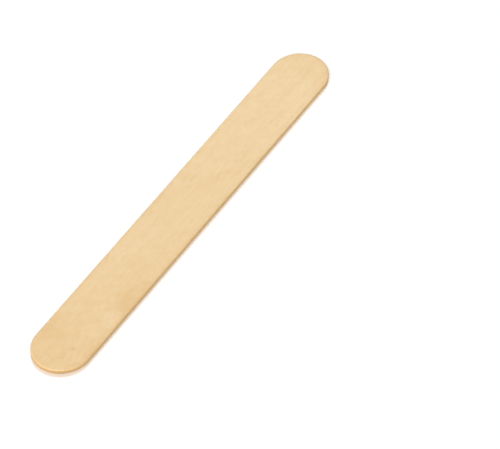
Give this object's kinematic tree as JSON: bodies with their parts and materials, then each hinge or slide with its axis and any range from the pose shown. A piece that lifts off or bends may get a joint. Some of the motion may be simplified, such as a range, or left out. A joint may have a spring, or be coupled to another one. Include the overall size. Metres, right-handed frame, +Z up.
{
  "type": "tongue depressor",
  "caption": "Thin flat wooden blade with straight sides, round ends and smoothed edges, for pressing the tongue down during a throat examination.",
  "frame": {"origin": "middle of the lower flat face, on the surface the blade lies on", "axes": "+X along the blade's length, +Y across its width, +Z up through its thickness"},
  "size_m": [0.15, 0.018, 0.0016],
  "materials": {
    "birch_veneer": "unfinished, tumbled smooth, satin"
  },
  "bodies": {
    "root": {"wooden_blade": "birch_veneer"}
  },
  "joints": []
}
